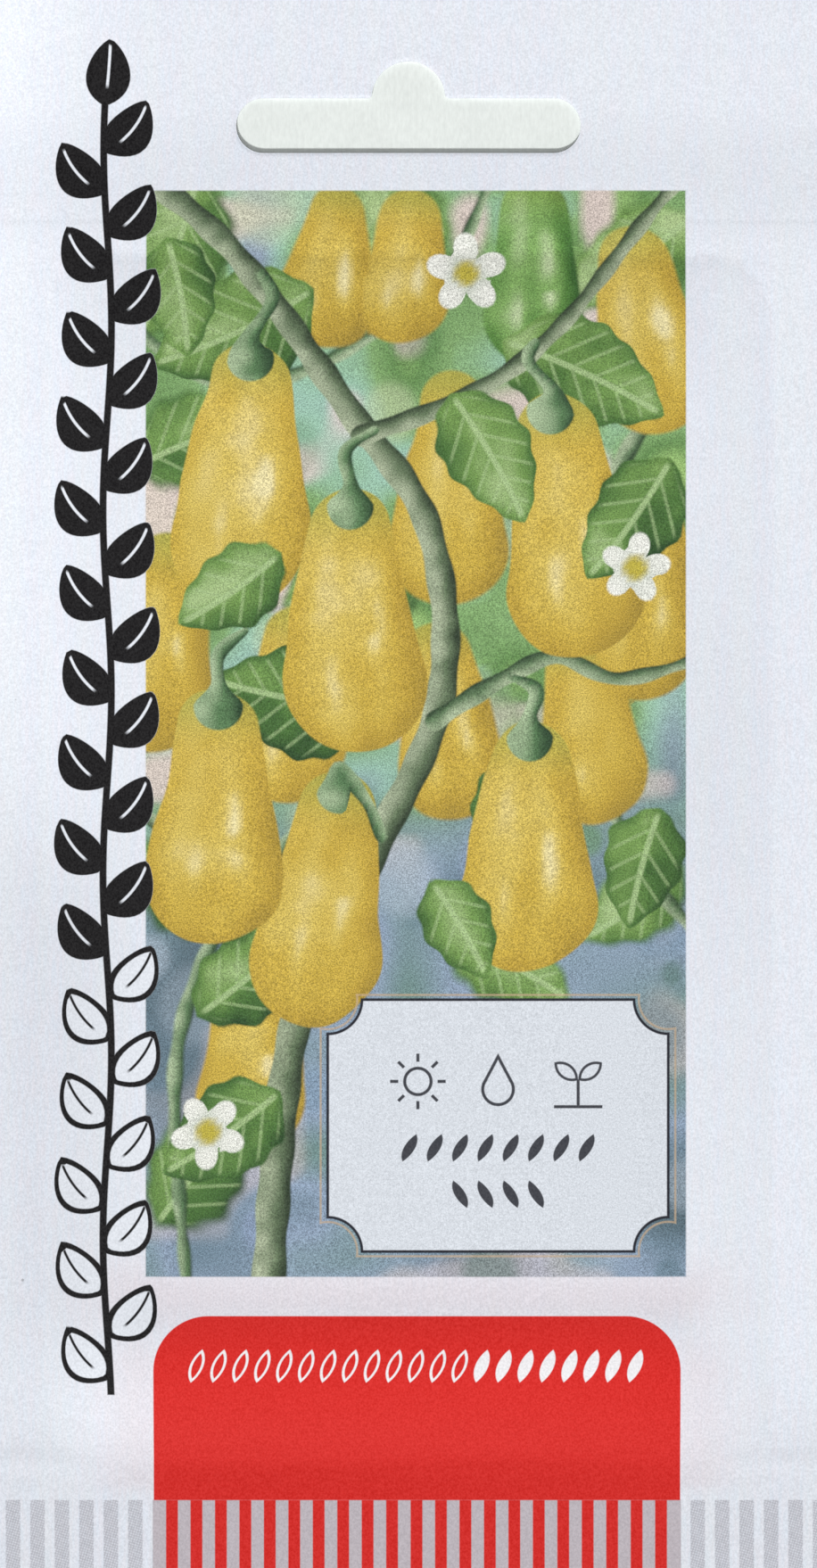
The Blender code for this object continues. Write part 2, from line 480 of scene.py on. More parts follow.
greenBlurs = tints((118, 160, 94), (170, 206, 184), (88, 130, 76), (146, 188, 92), (196, 208, 168))
blueBlurs = tints((146, 162, 192), (96, 124, 136), (176, 190, 204), (84, 116, 104), (122, 150, 172))
leafVein = tint(172, 198, 142)
veins = {"pitch": 2.3, "slant": 0.9, "half": 0.095, "strength": 0.45, "ribHalf": 0.28, "ribStrength": 0.8}


def drawFruit(x, y, spot, turn, length, neck, bulb, bend, draw, shade=0.0, ripe=1.0):
    # a pear-shaped fruit hanging from spot: two circles and the tangents between them, gently dented
    along, across = local(x, y, spot, turn, bend, length)
    run = length - neck - bulb
    lean = (neck - bulb) / run
    slope = math.sqrt(1 - lean * lean)
    a, b = along - neck, np.abs(across)
    level = a * slope - b * lean
    side = b * slope + a * lean - neck
    outside = np.where(level > slope * run, np.hypot(a - run, b) - bulb, side)
    depth = 0.7 * (cloud(x, y, 4.2, draw) - 0.5) - np.where(level < 0, np.hypot(a, b) - neck, outside)
    half = np.interp(along, [0, neck, neck + run, length], [neck * 0.7, neck, bulb, bulb * 0.7])
    bulgeX = np.clip(across / half, -1, 1)
    bulgeY = np.clip((along - length * 0.62) / (length * 0.42), -1, 1)
    angle = math.radians(turn)
    leanX = bulgeY * math.cos(angle) - bulgeX * math.sin(angle)
    leanY = bulgeY * math.sin(angle) + bulgeX * math.cos(angle)
    leanZ = np.sqrt(np.clip(1 - leanX ** 2 - leanY ** 2, 0.02, 1))
    light = pictureSun[2] * leanZ + pictureSun[0] * leanX + pictureSun[1] * leanY
    furrow = np.cos(bulgeX * 6.5 + 2.5 * cloud(x, y, 7, draw + 7) + draw) * (1 - bulgeX ** 2)
    patches, speckles = cloud(x, y, 3.4, draw + 3) - 0.5, cloud(x, y, 1.3, draw + 4) - 0.5
    gleam = np.exp(-(((bulgeX - 0.36) / 0.17) ** 2) - ((bulgeY + 0.15) / 0.36) ** 2)
    gleam = gleam * fade(cloud(x, y, 1.9, draw + 5), 0.15, 0.75)
    glint = np.exp(-(((bulgeX + 0.30) / 0.12) ** 2) - ((bulgeY - 0.25) / 0.22) ** 2)
    value = 0.30 + 0.40 * light + 0.12 * fade(depth, 0.0, 2.6) + 0.060 * furrow - 0.16 * shade
    value = value + 0.24 * patches + 0.09 * speckles + 0.44 * gleam + 0.22 * glint
    yellow, green = (blendTints(ramp, fruitPlaces, value) for ramp in (fruitTints, unripeTints))
    colour = over(yellow * ripe + green * (1 - ripe), fade(along / length, 0.26, 0.0) * 0.5, stalkGreen)
    return depth, colour, along, across


def drawLeaf(x, y, spot, turn, length, width, bend, light, draw):
    # an oval leaf with a pointed tip and a waved edge, its base at spot, one half catching more light
    along, across = local(x, y, spot, turn, bend, length)
    share = np.clip(along / length, 0, 1)
    spread = across * (0.80 + 0.62 * share ** 1.6)
    radius = (length * length / 4 + width * width / 4) / width
    depth = radius - np.hypot(along - length / 2, np.abs(spread) + radius - width / 2)
    depth = depth + 0.20 * np.sin(along * 2.1 + draw) * fade(np.abs(across), 0.5, 2.0)
    depth = depth + 0.6 * (cloud(x, y, 3.5, draw + 11) - 0.5)
    side = np.clip(across / (width * 0.5), -1, 1)
    lit = np.tanh(across / 0.5) * math.cos(math.radians(turn - 30))
    patches = 0.36 * (cloud(x, y, 4.5, draw) - 0.5) + 0.22 * (cloud(x, y, 1.6, draw + 2) - 0.5)
    value = light + 0.13 * lit + patches + 0.10 * np.cos(side * 3.0) - 0.18 * fade(depth, 1.0, 0.0)
    return depth, blendTints(leafTints, [0.05, 0.38, 0.68, 1.0], value), along, across


def smoothRoute(points, steps=24):
    # points along a smooth curve through a few given ones
    spots = [points[0], *points, points[-1]]
    route = []
    for i in range(len(points) - 1):
        a, b, c, d = (np.array(p, float) for p in spots[i : i + 4])
        for t in np.arange(steps) / steps:
            bow = (2 * a - 5 * b + 4 * c - d) * t * t + (3 * b - a - 3 * c + d) * t ** 3
            route.append(0.5 * (2 * b + (c - a) * t + bow))
    route.append(np.array(points[-1], float))
    return np.array(route)


def drawStem(x, y, points, thick, thin, draw, bark=0.0, cap=0.0):
    # a stem along a route, from thick to thin, that may end in the cap of a fruit
    route = smoothRoute(points, 24 if cap == 0 else 8)
    nearest = np.full(x.shape, 1e9)
    across, along = np.zeros(x.shape), np.zeros(x.shape)
    travelled = 0.0
    for a, b in zip(route[:-1], route[1:]):
        stretch = max(np.hypot(*(b - a)), 1e-9)
        ahead = (b - a) / stretch
        t = np.clip((x - a[0]) * ahead[0] + (y - a[1]) * ahead[1], 0, stretch)
        gapX, gapY = x - a[0] - ahead[0] * t, y - a[1] - ahead[1] * t
        gap = np.hypot(gapX, gapY)
        closer = gap < nearest
        nearest = np.where(closer, gap, nearest)
        across = np.where(closer, ahead[0] * gapY - ahead[1] * gapX, across)
        along = np.where(closer, travelled + t, along)
        travelled += stretch
    half = (thick + (thin - thick) * along / travelled) / 2
    half = half + 0.10 * np.sin(along * 1.1 + draw) + 0.14 * (cloud(x, y, 3.0, draw) - 0.5)
    half = half + cap * np.exp(-(((travelled - along) / 1.3) ** 2))
    side = np.clip(across / half, -1, 1)
    value = 0.62 - 0.46 * side - 0.25 * side * side + 0.35 * (cloud(x, y, 1.4, draw + 4) - 0.5)
    green = blendTints(stemTints, [0.05, 0.5, 0.95], value)
    woody = blendTints(barkTints, [0.05, 0.5, 0.95], value)
    return half - nearest, green * (1 - bark) + woody * bark, along, across


def drawStalk(x, y, hang, spot, bow, draw):
    # the short stalk of a fruit, from where it hangs to the cap on the fruit's top
    middle = ((hang[0] + spot[0]) / 2 + bow, (hang[1] + spot[1]) / 2 + abs(bow) * 0.5)
    points = [hang, middle, (spot[0], spot[1] + 0.4), (spot[0], spot[1] - 1.6)]
    return drawStem(x, y, points, 1.0, 1.5, draw, cap=1.5)


def drawFlower(x, y, spot, turn, reach, draw):
    # five round petals about a yellow-green eye
    distance = np.hypot(x - spot[0], y - spot[1])
    angle = np.arctan2(y - spot[1], x - spot[0]) - math.radians(turn)
    petal = np.abs(np.cos(2.5 * angle))
    depth = (reach * (0.36 + 0.64 * petal ** 0.75) - distance) * 0.75
    value = 0.84 + 0.12 * petal - 0.22 * fade(distance / reach, 0.6, 0.15)
    value = value + 0.12 * (cloud(x, y, 1.5, draw) - 0.5)
    colour = blendTints(petalTints, [0.4, 0.8, 1.0], value)
    return depth, over(colour, fade(distance, 1.4, 0.9), tint(190, 176, 70)), distance, angle


def drawBackdrop(x, y):
    # far foliage and sky out of focus, greens above and slate and lavender blue below, with round blurs
    mood = cloud(x, y, 13, 2) * 0.5 + cloud(x, y, 5, 3) * 0.5
    sky = blendTints(skyTints, [0.2, 0.4, 0.6, 0.85], mood)
    grove = blendTints(groveTints, [0.15, 0.3, 0.45, 0.62, 0.82], mood)
    up = fade(y + 14 * (cloud(x, y, 11, 4) - 0.5), -14, 12)
    colour = over(over(sky, up, grove), fade(cloud(x, y, 6, 5), 0.66, 0.86) * (0.35 + 0.5 * up), pinkHaze)
    draw = np.random.default_rng(17)
    for blur in range(blurCount):
        spotX = draw.uniform(picture["left"], picture["right"])
        spotY = draw.uniform(picture["low"], picture["high"])
        reach = draw.uniform(1.2, 4.6)
        within = fade(np.hypot(x - spotX, (y - spotY) * 0.9), reach, reach * 0.55)
        kind = greenBlurs if spotY > draw.uniform(-26, 16) else blueBlurs
        colour = over(colour, within * draw.uniform(0.2, 0.6), kind[blur % len(kind)])
    return colour


# each layer: how it is drawn, how soft its edge is, and its motifs, with that drawing's values in order
pictureLayers = {
    "backLeaves": (drawLeaf, 0.6, [
        ((-20, 58), 250, 17, 10, 0.5, 0.66, 1),
        ((-3, 60), 285, 17, 10, -0.4, 0.74, 2),
        ((27, 54), 215, 15, 9, 0.4, 0.70, 3),
        ((-26, 30), 20, 14, 9, 0.5, 0.6, 5),
        ((2, 22), 200, 15, 10, 0.4, 0.55, 6),
        ((26, 18), 190, 13, 9, 0.3, 0.62, 7),
        ((-26, -6), 330, 15, 10, -0.3, 0.55, 8),
        ((4, -14), 330, 13, 8, 0.2, 0.6, 9),
        ((-24, -42), 50, 15, 9, 0.4, 0.45, 10),
        ((26, -8), 215, 12, 7, 0.4, 0.6, 12),
    ]),
    "backStems": (drawStem, 0.25, [
        ([(-27, 44), (-18, 38), (-8, 40), (3, 48), (8, 58)], 1.4, 1.0, 1, 0.1),
        ([(28, 40), (20, 30), (16, 12), (20, -4), (27, -14)], 1.6, 1.1, 2, 0.2),
        ([(-10, -4), (-17, -12), (-22, -26), (-21, -48)], 1.5, 1.2, 3, 0.1),
    ]),
    "backFruits": (drawFruit, 0.25, [
        ((-22.5, 24), 262, 21, 3.4, 5.6, 0.3, 1, 0.6),
        ((20.5, 53), 281, 20, 3.3, 5.4, 0.2, 2, -0.2),
        ((2.5, 15.5), 276, 19, 3.2, 5.2, 0.2, 3, 0.6),
        ((-15, -17), 270, 18, 3.2, 5.2, 0.2, 5, 0.5),
        ((0.5, 56.5), 262, 15, 2.8, 4.5, 0.2, 6, 0.0),
        ((4.2, 39), 268, 22, 3.2, 5.6, 0.2, 7, 0.5),
        ((22.8, 29), 266, 21, 3.3, 5.7, 0.2, 8, 0.5),
        ((15.8, 14), 278, 18, 3.1, 5.1, 0.2, 31, 0.5),
        ((-10.5, 17), 266, 19, 3.1, 5.2, 0.2, 32, 0.5),
        ((-6.5, 57), 262, 16, 2.9, 4.7, 0.2, 33, 0.4),
        ((12, 57.5), 268, 18, 3.0, 4.8, 0.3, 9, -0.3, 0.0),
    ]),
    "midLeaves": (drawLeaf, 0.14, [
        ((-9, 47), 205, 17, 10.5, 0.7, 0.52, 21),
        ((9, 42), 335, 17, 10, 0.5, 0.58, 22),
        ((-2, 7), 170, 17, 10.5, 0.5, 0.46, 23),
        ((13, 3), 250, 15, 9, -0.3, 0.42, 24),
        ((-20, -22), 40, 14, 8, -0.3, 0.5, 25),
        ((24, -2), 255, 12, 7.5, -0.3, 0.5, 26),
    ]),
    "mainStem": (drawStem, 0.14, [
        (
            [(-28, 60), (-17, 51), (-6, 36), (2, 24), (3, 8), (-4, -8), (-11, -24), (-13.5, -50)],
            2.2, 3.2, 7, 0.4,
        ),
    ]),
    "sideStems": (drawStem, 0.14, [
        ([(-4.5, 33), (6, 37), (14, 43), (22, 53), (27, 59)], 1.9, 1.2, 8, 0.4),
        ([(2.5, 6), (9, 10), (14, 12), (20, 10), (28, 12)], 1.8, 1.1, 9, 0.2),
        ([(-4, -8), (-12, -9), (-20, -6), (-28, -1)], 1.8, 1.1, 10, 0.2),
    ]),
    "fruitsBehind": (drawFruit, 0.14, [
        ((-15, 42), 266, 25, 3.9, 6.7, 0.4, 11, -0.4),
        ((13.5, 37), 277, 25, 3.8, 6.5, 0.2, 12, 0.3),
        ((-6.5, 1), 262, 24, 3.6, 6.2, 0.3, 13, 0.3),
    ]),
    "stalksBehind": (drawStalk, 0.14, [
        ((-14, 48.5), (-15, 42), 1.6, 12),
        ((12, 41.8), (13.5, 37), -1.4, 13),
        ((-2.6, -5), (-6.5, 1), 0.6, 14),
    ]),
    "fruitsFront": (drawFruit, 0.14, [
        ((-5.5, 28), 272, 25, 3.9, 6.9, -0.3, 14),
        ((11.5, 6), 268, 24, 3.8, 6.6, 0.3, 15),
        ((-18, 9), 268, 24, 3.9, 6.6, 0.3, 16, 0.05),
    ]),
    "stalksFront": (drawStalk, 0.14, [
        ((-3.2, 33.5), (-5.5, 28), -1.6, 22),
        ((9.5, 10.2), (11.5, 6), 1.6, 23),
        ((-15.5, 14.5), (-18, 9), -1.2, 24),
    ]),
    "frontLeaves": (drawLeaf, 0.14, [
        ((4, 37), 300, 14, 8.5, 0.4, 0.60, 31),
        ((-12, 22), 215, 12, 7.5, 0.4, 0.62, 32),
        ((25, 31), 235, 14, 8.5, 0.4, 0.5, 33),
        ((-12, -29), 215, 14, 8.5, 0.4, 0.45, 34),
        ((2, -9), 300, 11, 6.5, 0.3, 0.6, 35),
        ((-23, 52), 280, 12, 7, 0.4, 0.58, 36),
    ]),
    "flowers": (drawFlower, 0.14, [
        ((5.5, 48.5), 20, 3.9, 1),
        ((-19, -33), 50, 3.6, 2),
        ((21.5, 20.5), 80, 3.4, 3),
    ]),
}
farOutside = -9.0   # depth given to points that a layer doesn't reach


def keepInk(mesh, name, colour, depth):
    layer = mesh.attributes.new(name, "FLOAT_COLOR", "POINT")
    ink = np.concatenate([colour, depth[:, None]], axis=1)
    layer.data.foreach_set("color", ink.astype(np.float32).ravel())


def keepPlaces(mesh, name, *parts):
    layer = mesh.attributes.new(name, "FLOAT_VECTOR", "POINT")
    layer.data.foreach_set("vector", np.stack(parts, axis=1).astype(np.float32).ravel())


def pointsOf(mesh):
    spots = np.zeros(len(mesh.vertices) * 3)
    mesh.vertices.foreach_get("co", spots)
    return spots.reshape(-1, 3) / mm


def printPicture(mesh):
    # each point under the picture learns every layer's colour there and its depth in that layer's outline
    spots = pointsOf(mesh)
    under = np.flatnonzero(inPicture(spots[:, 0], spots[:, 1], picture["spare"]))
    x, y = spots[under, 0], spots[under, 1]
    colour, depth = np.zeros((len(spots), 3)), np.zeros(len(spots))
    colour[under] = drawBackdrop(x, y)
    keepInk(mesh, "backdrop", colour, depth)
    for name, (draw, _, motifs) in pictureLayers.items():
        colour, depth = np.zeros((len(spots), 3)), np.full(len(spots), farOutside)
        along, across = np.zeros(len(spots)), np.zeros(len(spots))
        for motif in motifs:
            motifDepth, motifColour, motifAlong, motifAcross = draw(x, y, *motif)
            closer = motifDepth > depth[under]
            chosen = under[closer]
            depth[chosen], colour[chosen] = motifDepth[closer], motifColour[closer]
            along[chosen], across[chosen] = motifAlong[closer], motifAcross[closer]
        keepInk(mesh, name, colour, depth)
        if draw is drawLeaf:
            keepPlaces(mesh, name + "Veins", along, across, across * 0)


# Sprig printed in black up the left margin: solid leaves above, outlined ones below

sprig = {
    "x": -28.6,
    "low": -58.0,
    "high": 64.9,
    "leaves": 30,           # side leaves, left and right in turn
    "step": 4.02,
    "leafLong": 6.5,
    "leafWide": 4.1,
    "lean": 40,             # degrees between a leaf and the stem
    "sway": 0.4,
    "swayLength": 5.5,
    "stemHalf": 0.34,
    "ribHalf": 0.13,
    "outlineHalf": 0.26,
    "outlineIn": 0.24,      # how far inside a leaf's edge its outline runs
    "solidAbove": -16.6,
    "reach": 8,             # no leaf ends farther from the stem
}


def printSprig(mesh):
    # points near the sprig learn their depth in the nearest leaf, their place in it and whether it is solid
    spots = pointsOf(mesh)
    near = np.flatnonzero(np.abs(spots[:, 0] - sprig["x"]) < sprig["reach"])
    x, y = spots[near, 0], spots[near, 1]
    depth, across, along, solid = (np.full(len(spots), start) for start in (farOutside, 0.0, 0.0, 0.0))
    long, wide = sprig["leafLong"], sprig["leafWide"]
    sides = [(sprig["low"] + 1.5 + sprig["step"] * i, 1 if i % 2 else -1) for i in range(sprig["leaves"])]
    for spotY, side in [*sides, (sprig["high"] - 0.4, 0.12)]:      # the last leaf stands on the sprig's tip
        spot = (sprig["x"] + sprig["sway"] * math.sin(spotY / sprig["swayLength"]), spotY)
        leafAlong, leafAcross = local(x, y, spot, 90 - side * sprig["lean"], -side * 0.7, long)
        share = np.clip(leafAlong / long, 0, 1)
        radius = (long * long + wide * wide) / 4 / wide
        spread = np.abs(leafAcross) * (0.84 + 0.4 * share ** 1.5)
        leafDepth = radius - np.hypot(leafAlong - long / 2, spread + radius - wide / 2)
        closer = leafDepth > depth[near]
        chosen = near[closer]
        depth[chosen] = leafDepth[closer]
        across[chosen], along[chosen] = leafAcross[closer], leafAlong[closer]
        solid[chosen] = spotY > sprig["solidAbove"]
    keepPlaces(mesh, "sprigLeaves", depth, across, along)
    keepPlaces(mesh, "sprigSolid", solid, solid, solid)


# Finishes

inks = {
    "paper": tint(232, 236, 243),
    "red": tint(217, 36, 30),
    "black": tint(20, 18, 20),
    "stripeGrey": tint(194, 186, 192),
    "marginGrey": tint(192, 193, 201),
    "plaque": tint(218, 223, 230),
    "plaqueLine": tint(34, 35, 45),
    "plaqueGold": tint(196, 170, 138),
    "white": tint(240, 238, 240),
    "sowGreen": tint(96, 152, 74),
    "seedStraw": tint(216, 188, 132),
    "seedRim": tint(168, 126, 72),
    "plantGold": tint(214, 176, 60),
    "liner": tint(236, 238, 240),
    "blush": tint(229, 220, 226),
}
redBand = {"left": -24.21, "right": 25.82, "low": -68.07, "high": -50.46, "corner": 5.25}
stripes = {
    "pitch": 2.3241,
    "firstRed": -22.48,
    "redWide": 1.13,
    "greyWide": 1.37,
    "middleX": 0.76,
    "redHalf": 23.85,       # the red ones stop short of the zone's ends
    "high": -68.05,
    "zone": {"left": -24.3, "right": 25.9, "low": -90, "high": -60},
}
screen = {"pitch": 0.238, "turn": 73, "spread": 0.9}     # the grey dots' pitch, lean and softness
leafRow = {
    "middleY": -55.2,
    "firstX": -20.1,
    "pitch": 2.08,
    "count": 21,
    "outlined": 13,         # leaves in outline, then solid ones
    "outlineHalf": 0.12,
    "outlineIn": 0.10,
    "long": 3.1,
    "wide": 1.25,
    "slant": -0.35,
}
plaque = {
    "middleX": 8.49,
    "middleY": -32.39,
    "halfX": 16.15,
    "halfY": 11.94,
    "notch": 3.25,
    "line": 0.26,
    "goldX": 0.67,
    "goldY": 0.45,
    "goldHalf": 0.095,
    "signY": -28.2,
    "signStep": 7.6,
    "rows": (
        {"middleY": -34.5, "firstX": 0.09, "pitch": 2.4, "count": 8, "long": 2.6, "wide": 1.1, "slant": -0.5},
        {"middleY": -38.9, "firstX": 4.89, "pitch": 2.4, "count": 4, "long": 2.6, "wide": 1.1, "slant": 0.5},
    ),
}


# The back's print, with x to the right as seen from behind
calendar = {
    "left": -28.0,
    "right": 28.0,
    "low": 19.0,
    "high": 37.0,
    "bars": ((3, 1.0, 3.5, "sowGreen"), (2, 4.0, 5.5, "plantGold"), (1, 6.5, 10.0, "red")),
    "barHalf": 0.30,        # as a share of a row's height
    "lineHalf": 0.09,
}
backSigns = {"y": 6, "step": 7.5, "larger": 1.6}
backRules = {"high": -8, "step": 5, "lineHalf": 0.12, "halves": (28, 28, 28, 28, 28, 28, 18)}


def mixInk(share, under, ink):
    # ink laid over a colour where share is 1
    node = share.tree.nodes.new("ShaderNodeMix")
    node.data_type = "RGBA"
    for socket, value in zip((node.inputs[0], node.inputs[6], node.inputs[7]), (share, under, ink)):
        feed(share.tree, socket, value if isinstance(value, Wire) else (*value, 1.0))
    return Wire(share.tree, node.outputs[2])


def shaded(share, colour, dark, light):
    # a colour made darker or lighter by a wire from 0 to 1
    node = share.tree.nodes.new("ShaderNodeHueSaturation")
    feed(share.tree, node.inputs["Value"], dark + (light - dark) * share)
    feed(share.tree, node.inputs["Color"], colour if isinstance(colour, Wire) else (*colour, 1.0))
    return Wire(share.tree, node.outputs[0])


def readAttribute(tree, name, *outputs):
    node = tree.nodes.new("ShaderNodeAttribute")
    node.attribute_name = name
    return [Wire(tree, node.outputs[output]) for output in outputs]


def readPlaces(tree, name):
    return partsOf(*readAttribute(tree, name, "Vector"))


def readInk(tree, name):
    return readAttribute(tree, name, "Color", "Alpha")


def boxDepth(x, y, box):
    # depth inside an upright box, negative outside
    return least(least(x - box["left"], box["right"] - x), least(y - box["low"], box["high"] - y))


streakTones = ((1.0, 0.962, 0.972), (0.955, 0.98, 1.01), (0.985, 1.0, 0.955))     # pink, blue and green


def paperBase(tree, place, colour):
    # coated paper: faint clouds, upright streaks that turn a little pink, blue or green, and a few specks
    clouds = grain(tree, place, 2.6 * mm, 3.0, 0.6)
    fine = grain(tree, place, 0.30 * mm, 2.0, 0.6, (1, 0.10, 1))
    broad = grain(tree, place, 1.7 * mm, 1.0, 0.5, (1, 0.03, 1))
    pink, blue, green = (colour * tone for tone in streakTones)
    streaked = mixInk(ease(broad, 0.35, 0.7) * 0.35, mixInk(ease(fine, 0.3, 0.7), pink, blue), green)
    base = shaded(clouds, streaked, 0.98, 1.03)
    specks = tree.nodes.new("ShaderNodeTexVoronoi")
    specks.inputs["Scale"].default_value = 1 / (7 * mm)
    tree.links.new(place.socket, specks.inputs["Vector"])
    dot = ease(Wire(tree, specks.outputs["Distance"]), 0.026, 0.014)
    return mixInk(dot * 0.5, base, tint(112, 110, 108))


def screenDots(x, y):
    # a printer's dot screen: waves in two directions at right angles, from -1 to 1
    fine, turn = 2 * math.pi / screen["pitch"], math.radians(screen["turn"])
    across, along = fine * math.cos(turn), fine * math.sin(turn)
    one = reckon("COSINE", x * across + y * along)
    other = reckon("COSINE", y * across - x * along)
    return (one + other) * 0.5


def slotDistance(x, y):
    # how far a point lies outside the hang slot, in millimetres
    end, middle, bump = slot["high"] / 2 / mm, slot["middle"] / mm, slot["bump"] / mm
    bar = farOff(most(abs(x) - (slot["wide"] / 2 / mm - end), 0.0), y - middle) - end
    return least(bar, farOff(x, y - middle - end) - bump)


def startFinish(name, roughness, gloss):
    # a new material: gives it, its tree, its shader and a wire with the place of each point
    made = bpy.data.materials.new(name)
    made.use_nodes = True
    tree = made.node_tree
    shader = tree.nodes["Principled BSDF"]
    shader.inputs["Roughness"].default_value = roughness
    shader.inputs["Specular IOR Level"].default_value = gloss
    return made, tree, shader, Wire(tree, tree.nodes.new("ShaderNodeTexCoord").outputs["Object"])


def addBump(shader, height, distance, strength=1.0):
    # relief finer than the mesh
    bump = height.tree.nodes.new("ShaderNodeBump")
    bump.inputs["Strength"].default_value = strength
    bump.inputs["Distance"].default_value = distance
    feed(height.tree, bump.inputs["Height"], height)
    height.tree.links.new(bump.outputs[0], shader.inputs["Normal"])


def paperBump(tree, shader, place, x, y):
    # paper fibres, the slot's edge, which the punch has pressed down, and the crease across the header
    height = grain(tree, place, 0.22 * mm, 3.0, 0.6, (1, 0.45, 1)) * laminate["fibre"]
    height = height - hump(slotDistance(x, y), laminate["pressedWide"]) * laminate["pressed"]
    height = height - inside(y - laminate["creaseY"], laminate["creaseHalf"]) * laminate["crease"]
    addBump(shader, height, mm)


def stripeInk(x, y, colour):
    # red and grey stripes under the band, grey ones in the margins, down to the cut edge
    below = inside(stripes["high"] - y)
    inZone = inside(boxDepth(x, y, stripes["zone"]), 0.05)
    pitch = stripes["pitch"]
    fromRed = abs(reckon("WRAP", x - stripes["firstRed"], pitch / 2, -pitch / 2))
    fromGrey = pitch / 2 - fromRed
    marginStripe = inside(stripes["greyWide"] / 2 - fromGrey, 0.07)
    redStripe = inside(stripes["redWide"] / 2 - fromRed)
    redStripe = redStripe * inside(stripes["redHalf"] - abs(x - stripes["middleX"]), 0.05)
    dots = inside(screenDots(x, y), screen["spread"])
    colour = mixInk(below * (1 - inZone) * marginStripe * (0.35 + dots), colour, inks["marginGrey"])
    colour = mixInk(below * inZone, colour, inks["stripeGrey"])
    return mixInk(below * inZone * redStripe, colour, inks["red"])


def leafCells(x, y, row):
    # a row of slanted leaves: depth inside the nearest one, its number, and 1 where the row runs
    high = y - row["middleY"]
    number = (x - row["firstX"]) / row["pitch"]
    cell = (number - reckon("ROUND", number)) * row["pitch"] + high * row["slant"]
    radius = (row["long"] ** 2 + row["wide"] ** 2) / 4 / row["wide"]
    leaf = radius - farOff(high, abs(cell) + radius - row["wide"] / 2)
    half = row["count"] / 2
    inRow = inside(half - abs(reckon("ROUND", number) + 0.5 - half), 0.1)
    return leaf, number, inRow


def bandInk(tree, place, x, y, colour):
    # the red band, its two upper corners round, with a row of small white leaves
    inX = least(x - redBand["left"], redBand["right"] - x)
    depth = roundCorner(inX, redBand["high"] - y, redBand["corner"])
    mask = inside(depth) * inside(y - redBand["low"])
    worn = shaded(grain(tree, place, 0.4 * mm, 3.0, 0.7), inks["red"], 0.94, 1.06)
    colour = mixInk(mask, colour, worn)
    leaf, number, inRow = leafCells(x, y, leafRow)
    outlined = inside(leafRow["outlineHalf"] - abs(leaf - leafRow["outlineIn"]), 0.05)
    pick = inside(number - leafRow["outlined"] + 0.5, 0.1)
    return mixInk(mask * inRow * (inside(leaf) * pick + outlined * (1 - pick)), colour, inks["white"])


signLine = 0.30     # width of the lines that the garden signs are drawn in


def stroke(depth, wide=signLine):
    # a drawn line along the edge of a shape
    return inside(wide / 2 - abs(depth))


def sunMark(x, y):
    # a ring with eight rays
    ringRadius, rayMiddle, rayHalf = 1.25, 2.25, 0.39
    distance = farOff(x, y)
    ring = stroke(distance - ringRadius)
    turn = reckon("ARCTAN2", y, x) / (math.pi / 4)
    aside = distance * reckon("SINE", abs(turn - reckon("ROUND", turn)) * (math.pi / 4))
    ray = stroke(aside) * inside(rayHalf - abs(distance - rayMiddle), 0.05)
    return most(ring, ray)


def dropMark(x, y):
    # a water drop: a circle and its two tangents from a point above
    apex, middle, radius = 2.35, -0.75, 1.45
    lean = radius / (apex - middle)
    upright = math.sqrt(1 - lean * lean)
    low = farOff(x, y - middle) - radius
    taper = abs(x) * upright + (y - apex) * lean
    return stroke(least(low, most(taper, middle + radius * lean - y)))


def sproutMark(x, y):
    # two leaves on a short stem over a line of soil
    run, rise, fork = 0.80, 0.60, 0.1
    middle, half, radius = 1.42, 0.62, 1.55
    u, v = abs(x) * run + (y - fork) * rise, abs(x) * rise - (y - fork) * run
    leaf = radius - farOff(u - middle, abs(v) + radius - half)
    stem = stroke(x) * inside(least(0.20 - y, y + 2.45), 0.05)
    soil = stroke(y + 2.4) * inside(2.30 - abs(x), 0.05)
    return most(most(stroke(leaf, 0.26), stem), soil)


def gardenSigns(x, y, step):
    # sun, drop and sprout, a step apart
    return most(most(sunMark(x + step, y), dropMark(x, y)), sproutMark(x - step, y))


def plaqueInk(dots, x, y, colour):
    # a pale plate with hollow corners in a dark line and a golden one, with garden signs and rows of leaves
    u = abs(x - plaque["middleX"])
    v = abs(y - plaque["middleY"])
    square = least(plaque["halfX"] - u, plaque["halfY"] - v)
    hollow = farOff(plaque["halfX"] - u, plaque["halfY"] - v) - plaque["notch"]
    depth = least(square, hollow)
    outerSquare = least(plaque["halfX"] + plaque["goldX"] - u, plaque["halfY"] + plaque["goldY"] - v)
    outer = least(outerSquare, hollow + plaque["goldY"])
    colour = mixInk(inside(plaque["goldHalf"] - abs(outer), 0.065) * 0.7, colour, inks["plaqueGold"])
    colour = mixInk(inside(depth), colour, shaded(dots, inks["plaque"], 0.87, 1.12))
    colour = mixInk(stroke(depth, plaque["line"]), colour, inks["plaqueLine"])
    signs = gardenSigns(x - plaque["middleX"], y - plaque["signY"], plaque["signStep"])
    for row in plaque["rows"]:
        leaf, _, inRow = leafCells(x, y, row)
        signs = most(signs, inside(leaf) * inRow)
    return mixInk(signs * 0.95, colour, inks["plaqueLine"])


